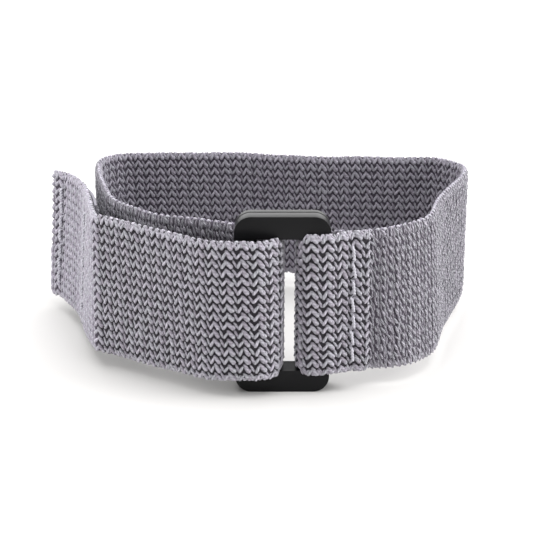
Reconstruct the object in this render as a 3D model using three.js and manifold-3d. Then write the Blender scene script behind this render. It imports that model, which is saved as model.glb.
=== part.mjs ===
// Adjustable elastic wrist strap: a band of knitted webbing sewn round one bar of a moulded
// rectangular ring, and threaded back over the ring's other bar into a tail with a hook patch.
// Millimetres, +Z up. The strap stands on the ring's lower end, with the origin on that plane,
// under the middle of the whole footprint. +Y points from the ring to the back of the loop.

import * as THREE from 'three';
import Module from 'manifold-3d';
import { mergeVertices } from 'three/addons/utils/BufferGeometryUtils.js';

// Webbing
const strapWidth = 20.8;
const strapThickness = 1.3;
const gatherEachSide = 0.9; // the webbing is squeezed narrower where it passes the ring
const gatherFullWithin = 7.5; // distance from the ring's centre that is fully squeezed
const gatherGoneBeyond = 22; // distance from the ring's centre where the full width is back

// Moulded ring
const ringWidth = 13.2;
const sideBarWidth = 3.0;
const sideBarDepth = 1.6;
const endBarHeight = 3.2;
const endBarCorner = 2.3; // outer corner radius
const endBarDepth = 3.6;
const endBarBevel = 0.4;
const edgeClearance = 0.15; // from each edge of the squeezed webbing to the ring's end bars

// Folds round the ring's two side bars
const sewnFoldClearance = 0.4; // in front of and behind the right bar
const sewnFoldSlack = 0.7; // beside the right bar, towards the left one
const looseFoldClearance = 2.65; // all round the left bar

// Sewn flap
const layerGap = 0.1; // between the flap and the band that it is sewn to
const flapLength = 2.8; // from the end of the taper behind the right bar to the cut edge
const seamFromCutEdge = 2.3;

// Wrist loop, on the webbing's centre line, from the ring's centre
const loopRight = 30.2;
const loopLeft = 30.8;
const loopBack = 44.5;
const backStep = 3.1; // the right half of the back lies this much nearer the ring
const frontRightRise = 2.5; // how far back the band is where it starts round the right corner
const frontLeftRise = 8.25; // the same on the left
const leftSideRun = 15.1; // the straight part of the left side
const sideLean = THREE.MathUtils.degToRad(13.4); // its slope away from the ring's centre

// Tail, folded back over the outside of the loop
const tipStandOff = 3.3; // from the loop's left side to the tail's tip, centre to centre
const tipRun = 6.4; // how far the tip follows the loop's straight left side
const tipFlare = THREE.MathUtils.degToRad(13); // the last stretch's turn away from the loop
const flareLength = 11.9; // length of that last stretch
const tailBendRadius = 1.8;
const bodyGap = 0.15; // between two stretches of webbing that move apart

// Hook patch on the tip's inner face
const hookLength = 17.5;
const hookWidth = 18.6;
const hookThickness = 0.9;
const hookFromEnd = 1.0;
const hookSeamInset = 1.3;

// Sewing thread
const threadDiameter = 0.36;
const threadLift = 0.06; // from the face that the thread lies on
const flapSeamLength = 18.4;
const hookSeamLength = 17.0;

// Facets
const longestFacet = 1.6;
const widestFacetTurn = THREE.MathUtils.degToRad(11.25);

const webbingColour = 0xa9a6b4;
const hookColour = 0x8e8b98;
const threadColour = 0xc9c7d0;
const plasticColour = 0x1d1d20;

const halfThickness = strapThickness / 2;
const squeezedWidth = strapWidth - 2 * gatherEachSide;
const openingHeight = squeezedWidth + 2 * edgeClearance;
const ringHeight = openingHeight + 2 * endBarHeight;
const barX = (ringWidth - sideBarWidth) / 2;
const barInnerX = ringWidth / 2 - sideBarWidth;
const leftSideX = -loopLeft + 5.4;
const leftSideY = frontLeftRise + 7.8;

const wasm = await Module();
wasm.setup();

const webbing = new THREE.MeshStandardMaterial({ color: webbingColour, roughness: 0.9, metalness: 0 });
const hookTape = new THREE.MeshStandardMaterial({ color: hookColour, roughness: 0.8, metalness: 0 });
const thread = new THREE.MeshStandardMaterial({ color: threadColour, roughness: 0.7, metalness: 0 });
const plastic = new THREE.MeshStandardMaterial({ color: plasticColour, roughness: 0.35, metalness: 0 });

// ---- The webbing's route: straight runs with a round bend at each corner ----

function corner(x, y, radius, name) {
  return { at: new THREE.Vector2(x, y), radius, name };
}

// Two right-angle bends that take the webbing round a side bar, entering at height y.
function foldCorners(apexX, y, names) {
  const radius = Math.abs(y);
  return [corner(apexX, y, radius, names[0]), corner(apexX, -y, radius, names[1])];
}

// Behind the right bar the band tapers in to this point, from where the flap is sewn to it.
const taperEnd = new THREE.Vector2(barX + 3.7, 0.45);
const stackEnd = new THREE.Vector2(loopRight - 13.2, frontRightRise);
const sewnRadius = sideBarDepth / 2 + sewnFoldClearance + halfThickness;
const sewnApex = barInnerX - sewnFoldSlack - halfThickness;

function flapCorners() {
  const along = stackEnd.clone().sub(taperEnd).normalize();
  const outward = new THREE.Vector2(along.y, -along.x);
  const flapTaper = taperEnd.clone().addScaledVector(outward, strapThickness + layerGap);
  const cutEdge = flapTaper.clone().addScaledVector(along, flapLength);
  return [
    corner(cutEdge.x, cutEdge.y, 0),
    corner(flapTaper.x, flapTaper.y, 5, 'flapTaper'),
    corner(barX + 0.9, -sewnRadius, 5),
  ];
}

// The loop anticlockwise from behind the right bar to the left one.
function loopCorners() {
  return [
    corner(barX + 1.3, sewnRadius, 3),
    corner(taperEnd.x, taperEnd.y, 3, 'bandTaper'),
    corner(stackEnd.x, stackEnd.y, 9),
    corner(loopRight - 9, frontRightRise + 5.35, 8),
    corner(loopRight - 7, frontRightRise + 14.25, 30),
    corner(loopRight - 1.3, loopBack - 13.5, 20),
    corner(loopRight, loopBack - backStep, 7),
    corner(5.8, loopBack - backStep + 0.2, 25),
    corner(-5.2, loopBack - 0.1, 25),
    corner(-loopLeft, loopBack, 6.5),
    corner(leftSideX - leftSideRun * Math.tan(sideLean), leftSideY + leftSideRun, 40),
    corner(leftSideX, leftSideY, 14),
    corner(-loopLeft + 12.1, frontLeftRise, 10),
  ];
}

// Round the left bar and back over the outside of the loop.
function tailCorners() {
  const apexX = -barInnerX + looseFoldClearance + halfThickness;
  const radius = sideBarDepth / 2 + looseFoldClearance + halfThickness;
  const kneeX = leftSideX - tipRun * Math.tan(sideLean) - tipStandOff / Math.cos(sideLean);
  const kneeY = leftSideY + tipRun;
  const flare = sideLean + tipFlare;
  return [
    corner(apexX - radius - 1, radius, 4),
    ...foldCorners(apexX, radius, ['looseBack', 'looseFront']),
    corner(apexX - radius - 5.1, -radius, 10),
    corner(-loopLeft + 4.2, frontLeftRise - 0.6, tailBendRadius, 'tailBend'),
    corner(kneeX, kneeY, 25),
    corner(kneeX - flareLength * Math.sin(flare), kneeY + flareLength * Math.cos(flare), 0),
  ];
}

function routeCorners() {
  const sewnFold = foldCorners(sewnApex, -sewnRadius, []);
  return [...flapCorners(), ...sewnFold, ...loopCorners(), ...tailCorners()];
}

// How far along its two runs each bend reaches, where a run too short for both its bends is shared.
function bendsAt(corners) {
  const runs = corners.slice(1).map(({ at }, index) => at.clone().sub(corners[index].at));
  const turns = runs.slice(1).map((run, index) => Math.atan2(runs[index].cross(run), runs[index].dot(run)));
  const wanted = turns.map((turn, index) => corners[index + 1].radius * Math.tan(Math.abs(turn) / 2));
  return turns.map((turn, index) => {
    const before = wanted[index] + (wanted[index - 1] ?? 0);
    const after = wanted[index] + (wanted[index + 1] ?? 0);
    const fit = Math.min(1, runs[index].length() / before, runs[index + 1].length() / after);
    const into = runs[index].clone().normalize();
    return { into, out: runs[index + 1].clone().normalize(), turn, fit, reach: wanted[index] * fit };
  });
}

// Lines and arcs through the corners, with the arc length at each named corner's start and end.
function layRoute(corners) {
  const pieces = [];
  const marks = {};
  let length = 0;
  let pen = corners[0].at.clone();
  const add = (piece) => {
    pieces.push(piece);
    length += piece.getLength();
  };
  bendsAt(corners).forEach(({ into, out, turn, fit, reach }, index) => {
    const { at, radius, name } = corners[index + 1];
    const start = at.clone().addScaledVector(into, -reach);
    const end = at.clone().addScaledVector(out, reach);
    const bend = radius * fit;
    const centre = start.clone().addScaledVector(new THREE.Vector2(-into.y, into.x), Math.sign(turn) * bend);
    const from = Math.atan2(start.y - centre.y, start.x - centre.x);
    if (start.distanceTo(pen) > 1e-3) add(new THREE.LineCurve(pen, start));
    const before = length;
    add(new THREE.EllipseCurve(centre.x, centre.y, bend, bend, from, from + turn, turn < 0));
    if (name) marks[name] = { start: before, end: length };
    pen = end;
  });
  add(new THREE.LineCurve(pen, corners.at(-1).at));
  return { pieces, marks, length };
}

// Points with their left-hand normals and distances along the route.
function sampleRoute(route) {
  const samples = [];
  let before = 0;
  for (const piece of route.pieces) {
    const turn = piece.isEllipseCurve ? Math.abs(piece.aEndAngle - piece.aStartAngle) : 0;
    const count = Math.max(
      1,
      Math.ceil(piece.getLength() / longestFacet),
      Math.ceil(turn / widestFacetTurn),
    );
    for (let step = samples.length ? 1 : 0; step <= count; step += 1) {
      const tangent = piece.getTangent(step / count);
      samples.push({
        at: piece.getPoint(step / count),
        normal: new THREE.Vector2(-tangent.y, tangent.x),
        distance: before + (piece.getLength() * step) / count,
      });
    }
    before += piece.getLength();
  }
  return samples;
}

function sampleAt(samples, distance) {
  const after = samples.findIndex((sample) => sample.distance >= distance);
  const high = samples[Math.max(after, 1)];
  const low = samples[Math.max(after, 1) - 1];
  const share = (distance - low.distance) / (high.distance - low.distance);
  return {
    at: low.at.clone().lerp(high.at, share),
    normal: low.normal.clone().lerp(high.normal, share).normalize(),
    distance,
  };
}

function cutRoute(samples, from, to) {
  const clear = 1e-3;
  const inside = samples.filter(({ distance }) => distance > from + clear && distance < to - clear);
  return [sampleAt(samples, from), ...inside, sampleAt(samples, to)];
}

// ---- Solids ----

function halfWidthAt(x, y) {
  const away = THREE.MathUtils.smoothstep(Math.hypot(x, y), gatherFullWithin, gatherGoneBeyond);
  return THREE.MathUtils.lerp(squeezedWidth / 2, strapWidth / 2, away);
}

// A flat strip stood on edge along part of the route, between two offsets from its centre line.
function strip(samples, from, to, rightOffset, leftOffset, halfWidth) {
  const stretch = cutRoute(samples, from, to);
  const right = stretch.map(({ at, normal }) => at.clone().addScaledVector(normal, rightOffset));
  const left = stretch.map(({ at, normal }) => at.clone().addScaledVector(normal, leftOffset));
  const shape = new THREE.Shape([...right, ...left.reverse()]);
  const geometry = new THREE.ExtrudeGeometry(shape, { depth: 2, bevelEnabled: false });
  geometry.translate(0, 0, -1);
  const spots = geometry.attributes.position;
  for (let index = 0; index < spots.count; index += 1) {
    const halfHere = halfWidth(spots.getX(index), spots.getY(index));
    spots.setZ(index, Math.sign(spots.getZ(index)) * halfHere);
  }
  return geometry;
}

// A straight upright thread beside the route, at an offset from its centre line.
function uprightThread(samples, distance, offset, length) {
  const { at, normal } = sampleAt(samples, distance);
  const geometry = new THREE.CylinderGeometry(threadDiameter / 2, threadDiameter / 2, length, 10);
  geometry.rotateX(Math.PI / 2);
  geometry.translate(at.x + normal.x * offset, at.y + normal.y * offset, 0);
  return geometry;
}

function solidOf(geometry) {
  const bare = geometry.clone();
  bare.deleteAttribute('normal');
  bare.deleteAttribute('uv');
  const merged = mergeVertices(bare, 1e-4);
  return new wasm.Manifold(
    new wasm.Mesh({
      numProp: 3,
      vertProperties: new Float32Array(merged.attributes.position.array),
      triVerts: new Uint32Array(merged.index.array),
    }),
  );
}

function geometryOf(solid) {
  const mesh = solid.getMesh();
  const geometry = new THREE.BufferGeometry();
  geometry.setAttribute('position', new THREE.BufferAttribute(mesh.vertProperties, 3));
  geometry.setIndex(new THREE.BufferAttribute(mesh.triVerts, 1));
  geometry.computeVertexNormals();
  return geometry;
}

// One end bar of the ring: square to the opening, rounded at its two outer corners.
function endBar(upwards) {
  const half = ringWidth / 2 - endBarBevel;
  const low = openingHeight / 2 + endBarBevel;
  const high = ringHeight / 2 - endBarBevel;
  const radius = endBarCorner - endBarBevel;
  const shape = new THREE.Shape();
  shape.moveTo(-half, low);
  shape.lineTo(half, low);
  shape.absarc(half - radius, high - radius, radius, 0, Math.PI / 2, false);
  shape.absarc(-half + radius, high - radius, radius, Math.PI / 2, Math.PI, false);
  const geometry = new THREE.ExtrudeGeometry(shape, {
    depth: endBarDepth - 2 * endBarBevel,
    bevelThickness: endBarBevel,
    bevelSize: endBarBevel,
    bevelSegments: 3,
    curveSegments: 7,
  });
  geometry.translate(0, 0, -endBarDepth / 2 + endBarBevel);
  geometry.rotateX(Math.PI / 2);
  if (!upwards) geometry.rotateY(Math.PI);
  return geometry;
}

// One side bar: a round-edged flat bar that runs into both end bars.
function sideBar(x) {
  const round = sideBarDepth / 2;
  const flat = sideBarWidth / 2 - round;
  const shape = new THREE.Shape();
  shape.absarc(flat, 0, round, -Math.PI / 2, Math.PI / 2, false);
  shape.absarc(-flat, 0, round, Math.PI / 2, (3 * Math.PI) / 2, false);
  const length = openingHeight + endBarHeight;
  const geometry = new THREE.ExtrudeGeometry(shape, {
    depth: length,
    bevelEnabled: false,
    curveSegments: 10,
  });
  geometry.translate(x, 0, -length / 2);
  return geometry;
}

function buckleFrame() {
  const parts = [endBar(true), endBar(false), sideBar(barX), sideBar(-barX)];
  const whole = parts.map(solidOf).reduce((sum, part) => sum.add(part));
  return geometryOf(whole);
}

// ---- Assembly ----

const route = layRoute(routeCorners());
const samples = sampleRoute(route);
const { marks, length: tipEnd } = route;
const foldStart = marks.looseBack.start;
const foldEnd = marks.looseFront.end;
const tipStart = marks.tailBend.end;
const model = new THREE.Group();

function addPiece(name, geometry, material) {
  const mesh = new THREE.Mesh(geometry, material);
  mesh.name = name;
  model.add(mesh);
}

function addWebbing(name, from, to) {
  addPiece(name, strip(samples, from, to, -halfThickness, halfThickness, halfWidthAt), webbing);
}

// Both threads of a seam: the needle thread on the webbing's left-hand face at one distance along
// the route, and the bobbin thread on the last face that the seam goes through.
function addSeam(name, length, needleAt, bobbinAt, bobbinFace) {
  const clear = threadLift + threadDiameter / 2;
  const needle = uprightThread(samples, needleAt, halfThickness + clear, length);
  const bobbin = uprightThread(samples, bobbinAt, bobbinFace + Math.sign(bobbinFace) * clear, length);
  addPiece(`${name}_needle_thread`, needle, thread);
  addPiece(`${name}_bobbin_thread`, bobbin, thread);
}

addPiece('buckle_frame', buckleFrame(), plastic);
addWebbing('strap_band', 0, foldStart - bodyGap / 2);
addWebbing('strap_fold', foldStart + bodyGap / 2, foldEnd - bodyGap / 2);
addWebbing('strap_tail', foldEnd + bodyGap / 2, tipStart - bodyGap / 2);
addWebbing('tail_tip', tipStart + bodyGap / 2, tipEnd);

// The flap lies parallel to the band, so the seam is as far past the taper on both.
const seamPastTaper = marks.flapTaper.start - seamFromCutEdge;
addSeam('flap_seam', flapSeamLength, seamFromCutEdge, marks.bandTaper.end + seamPastTaper, halfThickness);

const hookEnd = tipEnd - hookFromEnd;
const hookStart = hookEnd - hookLength;
const hookBack = -(halfThickness + layerGap);
const hookFace = hookBack - hookThickness;
addPiece(
  'hook_patch',
  strip(samples, hookStart, hookEnd, hookFace, hookBack, () => hookWidth / 2),
  hookTape,
);
const frontSeam = hookStart + hookSeamInset;
const rearSeam = hookEnd - hookSeamInset;
addSeam('hook_front_seam', hookSeamLength, frontSeam, frontSeam, hookFace);
addSeam('hook_rear_seam', hookSeamLength, rearSeam, rearSeam, hookFace);

const strap = new THREE.Group();
strap.add(model);
const extent = new THREE.Box3().setFromObject(model);
const middle = extent.getCenter(new THREE.Vector3());
model.position.set(-middle.x, -middle.y, -extent.min.z);

export default strap;
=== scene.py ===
import math

import bpy
import numpy as np
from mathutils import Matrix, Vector


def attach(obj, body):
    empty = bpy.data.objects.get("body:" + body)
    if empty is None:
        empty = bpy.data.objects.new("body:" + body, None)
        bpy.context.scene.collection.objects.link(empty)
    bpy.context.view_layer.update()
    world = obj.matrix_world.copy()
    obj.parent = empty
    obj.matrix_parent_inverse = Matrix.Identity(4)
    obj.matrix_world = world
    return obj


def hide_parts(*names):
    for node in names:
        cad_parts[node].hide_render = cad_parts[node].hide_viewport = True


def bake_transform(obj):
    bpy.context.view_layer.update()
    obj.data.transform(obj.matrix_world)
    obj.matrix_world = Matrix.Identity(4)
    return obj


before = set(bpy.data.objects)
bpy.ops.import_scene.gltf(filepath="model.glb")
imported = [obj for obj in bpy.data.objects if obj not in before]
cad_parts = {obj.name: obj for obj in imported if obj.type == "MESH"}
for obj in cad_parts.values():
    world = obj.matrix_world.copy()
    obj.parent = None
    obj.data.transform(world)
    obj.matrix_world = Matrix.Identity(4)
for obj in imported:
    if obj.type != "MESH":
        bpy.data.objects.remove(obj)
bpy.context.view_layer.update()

bl_info = {
    "name": "Adjustable wrist strap",
    "version": (1, 0, 0),
    "blender": (4, 5, 0),
    "location": "View3D > Sidebar > Wrist strap",
    "description": "Knitted elastic wrist strap with a moulded ring, on a pale studio floor",
    "category": "Add Mesh",
}

MM = 0.001

# ---- The webbing's centre line, seen from above ----

# The middle of the moulded ring.
RING_CENTRE = Vector((0.003139, -0.020185, 0.01285))

# Corners from the flap's cut edge to the end of the tail: x, y from the ring's centre and the
# radius of the bend at the corner.
ROUTE = (
    (0.01186, -0.00023, 0.0),
    (0.00914, -0.00091, 0.005),
    (0.00600, -0.00215, 0.005),
    (0.00225, -0.00215, 0.0020),
    (0.00225, 0.00185, 0.0020),
    (0.00640, 0.00185, 0.003),
    (0.00880, 0.00045, 0.003),
    (0.01700, 0.00250, 0.009),
    (0.02130, 0.00785, 0.008),
    (0.02350, 0.01675, 0.030),
    (0.02950, 0.03110, 0.020),
    (0.03090, 0.04130, 0.007),
    (0.00580, 0.04160, 0.025),
    (-0.00520, 0.04440, 0.025),
    (-0.03080, 0.04450, 0.0065),
    (-0.02900, 0.03115, 0.040),
    (-0.02540, 0.01605, 0.014),
    (-0.01870, 0.00825, 0.010),
    (-0.00540, 0.00410, 0.004),
    (-0.00030, 0.00410, 0.0041),
    (-0.00030, -0.00410, 0.0041),
    (-0.00950, -0.00410, 0.010),
    (-0.02660, 0.00765, 0.0018),
    (-0.03032, 0.02245, 0.025),
    (-0.03561, 0.03311, 0.0),
)
FLAP_BEND = 3  # corner where the flap has turned forward
LOOSE_BACK, LOOSE_FRONT, TAIL_BEND = 19, 20, 22  # corners of the loose fold and of the tail's tip
SAMPLE_STEP = 0.05 * MM

HALF_WIDTH = 10.4 * MM
HALF_WIDTH_IN_RING = 9.5 * MM
HALF_WIDTH_BESIDE_RING = 10.15 * MM
BESIDE_RING_WITHIN, FULL_WIDTH_BEYOND = 7.5 * MM, 22.0 * MM  # distances from the ring's centre
# The ring presses the webbing to its narrower width within the first distance from the ring's
# centre and not at all past the second: to the front or back, and to each side.
PRESSED_DEEP = 1.7 * MM, 2.05 * MM
PRESSED_WIDE = 6.6 * MM, 7.5 * MM
EDGE_REACH = 1.2 * MM  # the knit thins towards its edges over this width
EDGE_THINNING = 0.42
EDGE_OVERHANG = 0.1 * MM  # how far loops stand past the edges and the cut ends
EDGE_PRESSED_BACK = 0.7
WAVE = 0.09 * MM  # unevenness of the knit's rows, and its two lengths along the webbing
WAVE_SHORT, WAVE_LONG = 2.3 * MM, 7.1 * MM

FLAP_SEAM = 2.3 * MM  # distance of the seam from the flap's cut edge
BAND_SEAM = 20.2 * MM  # the same seam where it comes out behind the band
HOOK_LENGTH = 17.5 * MM
HOOK_FROM_END = 1.0 * MM
HOOK_SEAM_INSET = 1.3 * MM
# How far the tip's upper and lower edges stand out from the route before its end, and the flare
# that both add over its last millimetres.
UPPER_LEAN, LOWER_LEAN = -0.8 * MM, 1.2 * MM
UPPER_FLARE, LOWER_FLARE = 1.5 * MM, 0.9 * MM
FLARE_LENGTH = 4.0 * MM
RIGHT_LEAN = 1.2 * MM  # how far the lower edge stands out on the loop's right side
RIGHT_LEAN_FROM, RIGHT_LEAN_TO = (16 * MM, 28 * MM), (40 * MM, 66 * MM)
FLAP_RISE = 0.45 * MM  # how much higher the flap's upper edge stands
FLAP_RISE_FADES = 11 * MM, 13 * MM


def smooth(value, low, high):
    share = np.clip((value - low) / (high - low), 0, 1)
    return share * share * (3 - 2 * share)


class CentreLine:
    """Straight runs with a round bend at each corner, sampled closely from end to end."""

    def __init__(self, corners):
        at = np.array([corner[:2] for corner in corners])
        runs = np.diff(at, axis=0)
        long = np.hypot(*runs.T)
        ways = runs / long[:, None]
        cross = ways[:-1, 0] * ways[1:, 1] - ways[:-1, 1] * ways[1:, 0]
        turns = np.arctan2(cross, (ways[:-1] * ways[1:]).sum(1))
        wanted = np.array([c[2] for c in corners[1:-1]]) * np.tan(np.abs(turns) / 2)
        before = wanted + np.r_[0, wanted[:-1]]
        after = wanted + np.r_[wanted[1:], 0]
        fit = np.minimum(1, np.minimum(long[:-1] / before, long[1:] / after))
        self.spots, self.sides, self.marks = [], [], {}
        pen = at[0]
        self.length = 0.0
        for index, turn in enumerate(turns):
            into, out = ways[index], ways[index + 1]
            reach = wanted[index] * fit[index]
            radius = corners[index + 1][2] * fit[index]
            start = at[index + 1] - into * reach
            self._line(pen, start)
            self.marks[index + 1] = [self.length]
            self._arc(start, into, radius, turn)
            self.marks[index + 1].append(self.length)
            pen = at[index + 1] + out * reach
        self._line(pen, at[-1])
        spots, sides = np.concatenate(self.spots), np.concatenate(self.sides)
        steps = np.hypot(*np.diff(spots, axis=0).T)
        self.distance = np.r_[0, np.cumsum(steps)]
        self.spots, self.sides = spots, sides

    def _line(self, start, end):
        way = end - start
        long = math.hypot(*way)
        if long < 1e-7:
            return
        share = np.linspace(0, 1, max(2, math.ceil(long / SAMPLE_STEP)))[:, None]
        self.spots.append(start + way * share)
        self.sides.append(np.repeat([[-way[1] / long, way[0] / long]], len(share), axis=0))
        self.length += long

    def _arc(self, start, into, radius, turn):
        inward = np.array((-into[1], into[0])) * math.copysign(1, turn)
        centre = start + inward * radius
        first = math.atan2(*(start - centre)[::-1])
        long = abs(radius * turn)
        angle = first + turn * np.linspace(0, 1, max(12, math.ceil(long / SAMPLE_STEP)))
        arm = np.stack((np.cos(angle), np.sin(angle)), 1)
        self.spots.append(centre + arm * radius)
        self.sides.append(-arm * math.copysign(1, turn))
        self.length += long

    def at(self, along):
        """Spots and left-hand directions at these distances, carried straight on past the ends."""
        inside = np.clip(along, 0, self.distance[-1])
        spot = np.stack([np.interp(inside, self.distance, c) for c in self.spots.T], 1)
        side = np.stack([np.interp(inside, self.distance, c) for c in self.sides.T], 1)
        side /= np.hypot(*side.T)[:, None]
        way = np.stack((side[:, 1], -side[:, 0]), 1)
        return spot + way * (along - inside)[:, None], side


LINE = CentreLine(ROUTE)
TIP_END = LINE.length
FOLD_START = LINE.marks[LOOSE_BACK][0]
FOLD_END = LINE.marks[LOOSE_FRONT][1]
BEND_START, BEND_END = LINE.marks[TAIL_BEND]
FLAP_FOLD = LINE.marks[FLAP_BEND][1]
HOOK_END = TIP_END - HOOK_FROM_END
HOOK_START = HOOK_END - HOOK_LENGTH
HOOK_FRONT_SEAM = HOOK_START + HOOK_SEAM_INSET
HOOK_REAR_SEAM = HOOK_END - HOOK_SEAM_INSET

# Seams that draw the knit's left-hand face in: distance along the route, and depth.
DENTS = (
    (FLAP_SEAM, 0.34 * MM),
    (BAND_SEAM, 0.3 * MM),
    (HOOK_FRONT_SEAM, 0.2 * MM),
    (HOOK_REAR_SEAM, 0.2 * MM),
)
DENT_REACH = 0.62 * MM


def lay(points, knit=True):
    """Points given as distance along the webbing, out from its left-hand face, and up, in space."""
    along, out, up = np.array(points, float).T
    spot, side = LINE.at(along)
    inside = 1.0
    if knit:
        along = np.clip(along, -EDGE_OVERHANG, TIP_END + EDGE_OVERHANG)
        out = out * (1 - EDGE_THINNING * smooth(np.abs(up), HALF_WIDTH - EDGE_REACH, HALF_WIDTH))
        for where, depth in DENTS:
            near = np.exp(-(((along - where) / DENT_REACH) ** 2))
            out = np.where(out > 0, out - depth * near, out)
        away = smooth(np.hypot(*spot.T), BESIDE_RING_WITHIN, FULL_WIDTH_BEYOND)
        half = HALF_WIDTH_BESIDE_RING
        half = half + (HALF_WIDTH + EDGE_OVERHANG - half) * away
        x, y = (spot + side * out[:, None]).T
        inside = 1 - smooth(np.abs(y), *PRESSED_DEEP)
        inside = inside * (1 - smooth(np.abs(x), *PRESSED_WIDE))
        half = half + (HALF_WIDTH_IN_RING - half) * inside
        up = up * half / HALF_WIDTH
        over = np.maximum(np.abs(up) - half, 0)
        up = up - np.sign(up) * EDGE_PRESSED_BACK * over
        up = up + WAVE * np.sin(along / WAVE_SHORT) * np.sin(along / WAVE_LONG)
    flare = smooth(along, TIP_END - FLARE_LENGTH, TIP_END + 1 * MM)
    upper = UPPER_LEAN * smooth(along, BEND_END, TIP_END - FLARE_LENGTH) + UPPER_FLARE * flare
    lower = LOWER_LEAN * smooth(along, BEND_START - 6 * MM, BEND_END + 8 * MM) + LOWER_FLARE * flare
    high = up / (2 * HALF_WIDTH)
    out = out + upper * (0.5 + high) + lower * (0.5 - high)
    right_side = smooth(along, *RIGHT_LEAN_FROM) * (1 - smooth(along, *RIGHT_LEAN_TO))
    out = out - RIGHT_LEAN * right_side * (0.5 - high)
    on_flap = 1 - smooth(along, *FLAP_RISE_FADES)
    up = up + FLAP_RISE * on_flap * smooth(up, 0, HALF_WIDTH) * (1 - inside)
    flat = spot + side * out[:, None] + np.array(RING_CENTRE.xy)
    return np.column_stack((flat, up + RING_CENTRE.z))


# ---- Mesh helpers ----


def enter(mode):
    bpy.ops.object.mode_set(mode=mode)


def start_clean():
    if bpy.context.object and bpy.context.object.mode != "OBJECT":
        enter("OBJECT")
    bpy.ops.object.select_all(action="DESELECT")


def select_whole_mesh():
    bpy.ops.mesh.select_all(action="SELECT")


def turn_faces_outward():
    select_whole_mesh()
    bpy.ops.mesh.normals_make_consistent(inside=False)


def in_scene(name, mesh):
    obj = bpy.data.objects.new(name, mesh)
    bpy.context.scene.collection.objects.link(obj)
    return obj


def choose(obj, kind, test):
    """Selects only the vertices, edges or faces of a mesh in edit mode that pass a test."""
    bpy.ops.mesh.select_mode(type=kind)
    bpy.ops.mesh.select_all(action="DESELECT")
    enter("OBJECT")
    mesh = obj.data
    items = {"VERT": mesh.vertices, "EDGE": mesh.edges, "FACE": mesh.polygons}[kind]
    for item in items:
        item.select = bool(test(item))
    enter("EDIT")


def ends(obj, edge):
    return [obj.data.vertices[index].co for index in edge.vertices]


def apply_place(obj):
    bpy.ops.object.transform_apply(location=True, rotation=True, scale=True)
    return obj


def apply_modifier(obj, kind, **settings):
    modifier = obj.modifiers.new("Finish", kind)
    for name, value in settings.items():
        setattr(modifier, name, value)
    bpy.ops.object.modifier_apply(modifier=modifier.name)


class Shape:
    """A small mesh that is modelled once: its vertices, and each face's vertices."""

    def __init__(self, obj):
        mesh = obj.data
        self.spots = np.array([v.co for v in mesh.vertices])
        self.sizes = np.array([p.loop_total for p in mesh.polygons], np.int64)
        self.loops = np.array([i for p in mesh.polygons for i in p.vertices], np.int64)
        x, y, z = self.spots.T
        self.grain = np.stack((np.arctan2(x, z) / math.tau, y / MM), 1)
        bpy.data.objects.remove(obj)
        bpy.data.meshes.remove(mesh)

    def turned(self, angle):
        """The same shape turned clockwise in the plane of the knit, as x to the right and y up."""
        turned = Shape.__new__(Shape)
        turned.sizes, turned.loops, turned.grain = self.sizes, self.loops, self.grain
        cos, sin = math.cos(angle), math.sin(angle)
        x, y, z = self.spots.T
        turned.spots = np.stack((x * cos + y * sin, -x * sin + y * cos, z), 1)
        return turned


EGG_TAPER = 0.72  # 1 is a round egg, and less leaves its ends fuller


def bead(wide, high, deep):
    """A rounded bead, by its radii along X, Y and Z."""
    start_clean()
    bpy.ops.mesh.primitive_uv_sphere_add(segments=8, ring_count=6, radius=1)
    ball = bpy.context.object
    ball.scale = (wide, high, deep)
    return Shape(apply_place(ball))


def bulge(length, thin, thick, sides=8, rings=5):
    """A yarn's bulge that lies along Y: an egg with its thin end up and its thick end down."""
    start_clean()
    bpy.ops.mesh.primitive_uv_sphere_add(segments=sides, ring_count=rings, radius=1)
    egg = bpy.context.object
    enter("EDIT")
    heights = sorted({round(v.co.z, 4) for v in egg.data.vertices})
    for height in heights[1:-1]:
        choose(egg, "VERT", lambda v: abs(v.co.z - height) < 1e-3)
        share = 0.5 + 0.5 * height
        wide = math.sqrt(1 - EGG_TAPER * height * height) / math.sqrt(1 - height * height)
        wide *= thick + (thin - thick) * share
        bpy.ops.transform.resize(value=(wide, wide, 1), center_override=(0, 0, height))
    enter("OBJECT")
    egg.scale = (1, 1, length / 2)
    egg.rotation_euler = (math.radians(-90), 0, 0)
    return Shape(apply_place(egg))


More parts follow.
